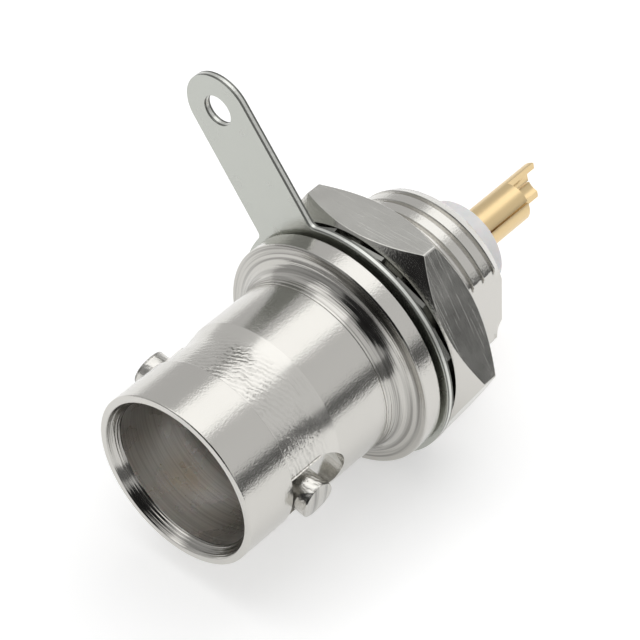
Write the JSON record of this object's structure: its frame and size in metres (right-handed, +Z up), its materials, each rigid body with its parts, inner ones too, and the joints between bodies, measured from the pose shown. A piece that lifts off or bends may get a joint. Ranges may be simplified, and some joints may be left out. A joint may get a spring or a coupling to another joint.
{
  "type": "bnc connector",
  "caption": "Panel-mounted female bayonet coaxial connector with flange, threaded tail, hexagon nut, toothed lock washer, solder tag and gold-plated solder cup.",
  "frame": {"origin": "on the connector's axis, at the centre of the flange's rear face, which is the face that meets the panel", "axes": "+Y along the axis from the mouth towards the solder cup, +Z up; the mouth faces -Y"},
  "size_m": [0.0174, 0.0275, 0.0188],
  "materials": {
    "bright_nickel": "bright nickel plate over turned brass",
    "satin_nickel": "satin nickel plate over brass sheet",
    "gold_plate": "gold plate",
    "insulator": "smooth white fluoropolymer",
    "spring_steel": "nickel plated spring steel"
  },
  "bodies": {
    "jack": {"shell": "bright_nickel", "front_insulator": "insulator", "rear_insulator": "insulator", "center_contact": "gold_plate"},
    "tag": {"solder_tag": "satin_nickel"},
    "washer": {"lock_washer": "spring_steel"},
    "nut": {"hex_nut": "bright_nickel"}
  },
  "joints": [
    {"name": "tag_swivel", "type": "hinge", "parent": "jack", "child": "tag", "pos_m": [0, 0, 0], "axis": [0, 1, 0], "continuous": true},
    {"name": "nut_travel", "type": "slide", "parent": "jack", "child": "washer", "axis": [0, 1, 0], "range_m": [0, 0.006]},
    {"name": "nut_turn", "type": "hinge", "parent": "washer", "child": "nut", "pos_m": [0, 0, 0], "axis": [0, 1, 0], "range_deg": [0, 2722]}
  ],
  "couplings": [
    {"joint": "nut_turn", "follows": "nut_travel", "rad_per_m": 7915.9}
  ]
}
